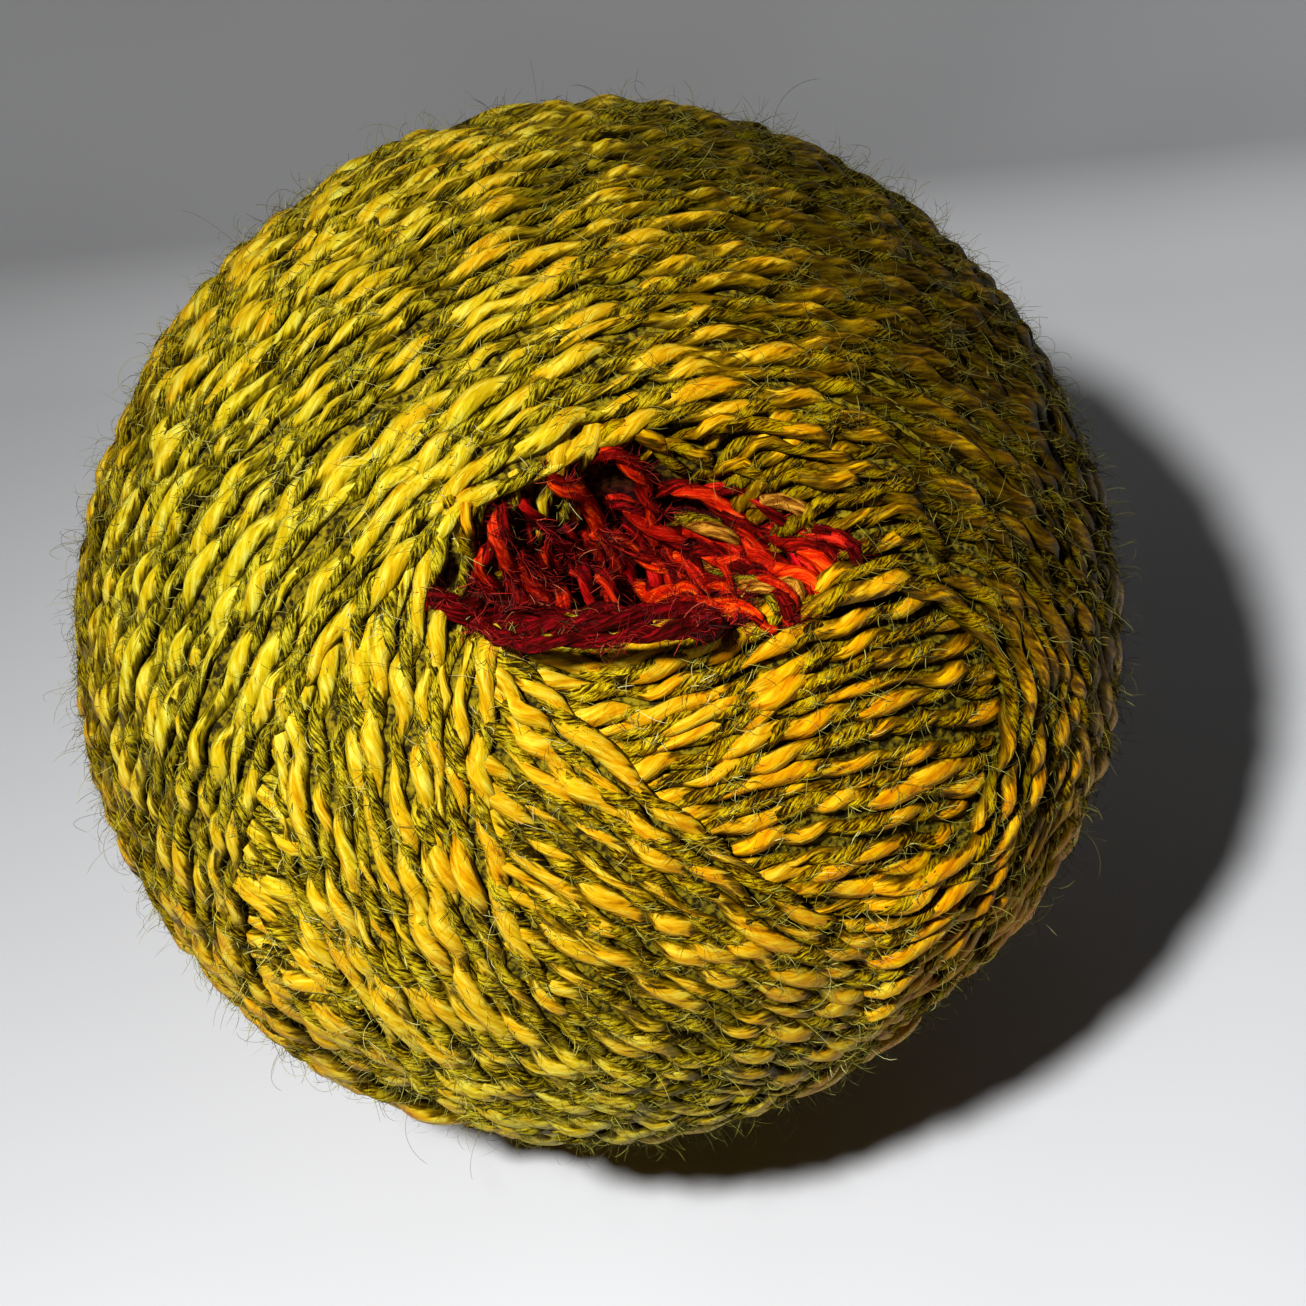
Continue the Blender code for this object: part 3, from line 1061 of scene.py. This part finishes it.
def build_core(materials):
    """The surface that shows between the turns, painted dark as the shade there."""
    rings = CORE_HOLLOW_RINGS + CORE_OUTER_RINGS
    azimuth = np.arange(CORE_SLICES) * 360 / CORE_SLICES
    reach = rim_reach(azimuth)
    points = []
    tones = []
    for ring in range(rings + 1):
        polar = reach * ring / CORE_HOLLOW_RINGS
        if ring > CORE_HOLLOW_RINGS:
            polar = reach + (pi - reach) * (ring - CORE_HOLLOW_RINGS) / CORE_OUTER_RINGS
        turned = np.radians(azimuth)
        sideways = np.outer(np.cos(turned), HOLLOW_RIGHT) + np.outer(np.sin(turned), HOLLOW_UP)
        ways = unit(np.outer(np.cos(polar), HOLLOW) + sideways * np.sin(polar)[:, None])
        lift = np.full(CORE_SLICES, BANDS[-1].lift)
        for band in BANDS[::-1]:
            cover = smooth((inside_band(band, ways) - CORE_EDGE) / CORE_STEP)
            lift = lift + (band.lift - lift) * cover
        radius = plain_radius(ways) + lift - CORE_DEPTH - hollow_drop(polar / reach)
        points.append(CENTRE + ways * radius[:, None])
        tones.append(smooth(CORE_REDDENING * (1 - polar / reach)))
    points = np.concatenate(points)
    points[:, 2] = np.maximum(points[:, 2], FLOOR)
    faces = []
    for ring in range(rings):
        for step in range(CORE_SLICES):
            after = (step + 1) % CORE_SLICES
            here = ring * CORE_SLICES
            below = here + CORE_SLICES
            faces.append((here + step, below + step, below + after, here + after))
    mesh = bpy.data.meshes.new("core")
    mesh.from_pydata(points.tolist(), [], faces)
    tone = mesh.attributes.new("tone", "FLOAT", "POINT")
    tone.data.foreach_set("value", np.concatenate(tones).astype(np.float32))
    mesh.validate()
    mesh.shade_smooth()
    add_piece(mesh, "core", materials["deep"])


def fibre_paths(row, roots, random):
    """Curled lines that start at roots, as an array of fibres by steps, with a side for each."""
    points, outward, along = roots.pick(row.count, random)
    side = np.cross(along, outward)
    lean = random.uniform(-1, 1, (row.count, 2, 1))
    start = unit(outward * row.rise + along * lean[:, 0] + side * lean[:, 1])
    turning = unit(np.cross(start, unit(random.normal(0, 1, (row.count, 3)))))
    drift = np.cross(start, turning) * random.uniform(-FIBRE_DRIFT, FIBRE_DRIFT, (row.count, 1))
    curl = random.uniform(*row.curl, (row.count, 1))
    length = random.uniform(*row.reach, (row.count, 1, 1))
    part = np.linspace(0, 1, row.steps)
    angle = curl * part
    path = start[:, None] * (np.sin(angle) / curl)[..., None]
    path = path + turning[:, None] * ((1 - np.cos(angle)) / curl)[..., None]
    path = path + drift[:, None] * part[:, None]
    path = points[:, None] + path * length
    path[..., 2] = np.maximum(path[..., 2], FLOOR + FIBRE_CLEARANCE)
    return path, np.broadcast_to((side + outward)[:, None], path.shape)


def uncovered(points):
    return np.zeros(points.shape[:3])


def build_fibres(random, roots, materials):
    """Short fibres that lie over the dark ply, and others that stand off the ball."""
    for row in FIBRES:
        tubes = Tubes()
        path, side = fibre_paths(row, roots[row.place], random)
        radii = np.full(path.shape[:2], row.radius)
        shades = random.uniform(0, 1, (row.count, 1))
        # Painted shade: the fibres are darker where the dark patches lie
        painted_fibre_shade = FIBRE_PAINTED_SHADE * patched(DARK_FIBRE_AND_SHADE_PATCHES, unit(path[:, 0] - CENTRE))
        shades = np.broadcast_to(shades * (1 - painted_fibre_shade)[:, None], path.shape[:2])
        tubes.add(path, side, radii, radii, shades, uncovered, row.sides)
        add_piece(tubes.mesh(row.name), row.name, materials[row.place])


# The stage, the camera and the lights


def build_stage():
    """A pale cloth on the table that rises to a wall behind the ball."""
    material, nodes, links = new_material("cloth")
    surface = nodes["Principled BSDF"]
    surface.inputs["Base Color"].default_value = CLOTH_COLOUR
    set_surface(surface, roughness=0.9, shine=0.1)
    place = nodes.new("ShaderNodeTexCoord")
    folds = nodes.new("ShaderNodeTexNoise")
    folds.inputs["Scale"].default_value = FOLD_SCALE
    folds.inputs["Detail"].default_value = FOLD_DETAIL
    links.new(place.outputs["Object"], folds.inputs["Vector"])
    bumped(nodes, links, surface, folds.outputs[0], FOLD_HEIGHT)
    profile = [(-STAGE_SIZE, 0.0)]
    for step in range(CREASE_STEPS + 1):
        angle = step / CREASE_STEPS * pi / 2
        profile.append((WALL_AT + CREASE * sin(angle), CREASE * (1 - cos(angle))))
    profile.append((WALL_AT + CREASE, STAGE_SIZE))
    corners = []
    for side in (-1, 1):
        for ahead, up in profile:
            corners.append((side * STAGE_SIZE, ahead + side * WALL_SLANT * STAGE_SIZE, up + FLOOR))
    count = len(profile)
    faces = [(n, n + count, n + count + 1, n + 1) for n in range(count - 1)]
    mesh = bpy.data.meshes.new("stage")
    mesh.from_pydata(corners, [], faces)
    mesh.materials.append(material)
    mesh.shade_smooth()
    stage = bpy.data.objects.new("stage", mesh)
    bpy.context.scene.collection.objects.link(stage)


def aimed(obj, place, target):
    obj.location = Vector(place)
    obj.rotation_euler = (Vector(target) - Vector(place)).to_track_quat("-Z", "Y").to_euler()


def build_camera():
    data = bpy.data.cameras.new("camera")
    data.sensor_width = SENSOR
    data.lens = FOCAL_PIXELS / FRAME_PIXELS * SENSOR
    camera = bpy.data.objects.new("camera", data)
    bpy.context.scene.collection.objects.link(camera)
    forward, _, _ = camera_axes()
    place = camera_place()
    aimed(camera, place, place + forward)
    bpy.context.scene.camera = camera


def build_lights():
    """One small lamp above the ball's left front, aimed before the ball, and light all round."""
    data = bpy.data.lights.new("lamp", "SPOT")
    data.energy = LAMP_POWER
    data.spot_size = radians(LAMP_SPREAD)
    data.spot_blend = 1.0
    data.shadow_soft_size = LAMP_RADIUS
    lamp = bpy.data.objects.new("lamp", data)
    bpy.context.scene.collection.objects.link(lamp)
    aimed(lamp, CENTRE + unit(np.array(LAMP_WAY)) * LAMP_DISTANCE, LAMP_AIM)
    world = bpy.data.worlds.new("soft_light")
    world.use_nodes = True
    background = world.node_tree.nodes["Background"]
    background.inputs["Color"].default_value = (1.0, 1.0, 1.0, 1)
    background.inputs["Strength"].default_value = ROOM_LIGHT
    bpy.context.scene.world = world
    bpy.context.scene.view_settings.view_transform = "Standard"


def main():
    random = np.random.default_rng(SEED)
    materials = yarn_materials()
    roots = {"ball": Roots(), "hollow": Roots()}
    build_core(materials)
    build_bands(random, materials, roots["ball"])
    build_hollow(random, materials, roots["ball"], roots["hollow"])
    build_fibres(random, roots, materials)
    build_stage()
    build_camera()
    build_lights()


main()
